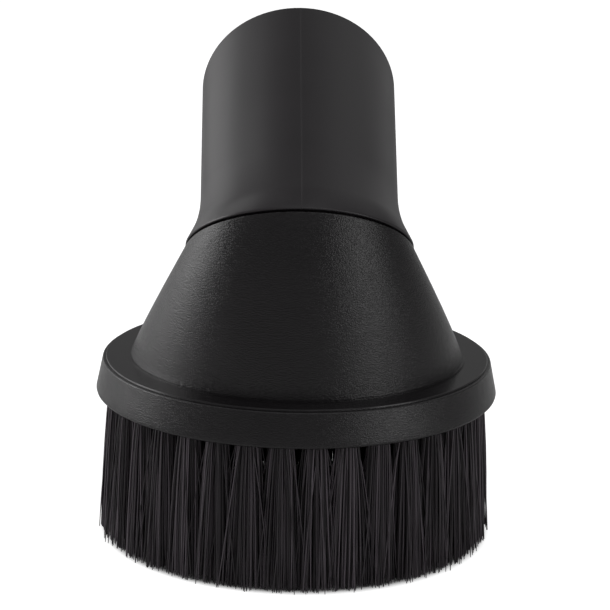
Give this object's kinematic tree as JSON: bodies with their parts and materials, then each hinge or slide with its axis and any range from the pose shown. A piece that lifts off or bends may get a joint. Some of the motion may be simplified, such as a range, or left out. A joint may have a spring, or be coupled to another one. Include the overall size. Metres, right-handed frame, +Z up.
{
  "type": "round vacuum dusting brush",
  "caption": "Round dusting brush for a vacuum cleaner: a ring of black bristle tufts under a conical hood, with a swivelling neck that takes the hose tube.",
  "frame": {"origin": "on the surface the bristle tips stand on, under the middle of the whole brush's bounding box", "axes": "+X to the right, +Y away from the viewer and toward the side to which the neck leans at rest, +Z up from the bristle tips"},
  "size_m": [0.0782, 0.0902, 0.0982],
  "materials": {
    "neck_plastic": "smooth satin moulding with a fine parting line",
    "hood_plastic": "fine spark-eroded grain",
    "ring_plastic": "fine spark-eroded grain with a smooth upper face",
    "bristle": "black filament bristles with a soft sheen",
    "staple_steel": "plain flat wire"
  },
  "bodies": {
    "head": {"hood": "hood_plastic", "brush_ring": "ring_plastic", "tuft_01": "bristle", "tuft_02": "bristle", "tuft_03": "bristle", "tuft_04": "bristle", "tuft_05": "bristle", "tuft_06": "bristle", "tuft_07": "bristle", "tuft_08": "bristle", "tuft_09": "bristle", "tuft_10": "bristle", "tuft_11": "bristle", "tuft_12": "bristle", "tuft_13": "bristle", "tuft_14": "bristle", "tuft_15": "bristle", "tuft_16": "bristle", "tuft_17": "bristle", "tuft_18": "bristle", "tuft_19": "bristle", "tuft_20": "bristle", "tuft_21": "bristle", "tuft_22": "bristle", "tuft_23": "bristle", "tuft_24": "bristle", "tuft_25": "bristle", "tuft_26": "bristle", "tuft_27": "bristle", "tuft_28": "bristle", "tuft_29": "bristle", "tuft_30": "bristle", "tuft_31": "bristle", "tuft_32": "bristle", "tuft_33": "bristle", "tuft_34": "bristle", "tuft_35": "bristle", "tuft_36": "bristle", "tuft_staples": "staple_steel"},
    "swivel_neck": {"neck": "neck_plastic"}
  },
  "joints": [
    {"name": "neck_swivel", "type": "hinge", "parent": "head", "child": "swivel_neck", "pos_m": [0, -0.01504, 0.0577], "axis": [0, 0.5534, 0.8329], "continuous": true}
  ]
}
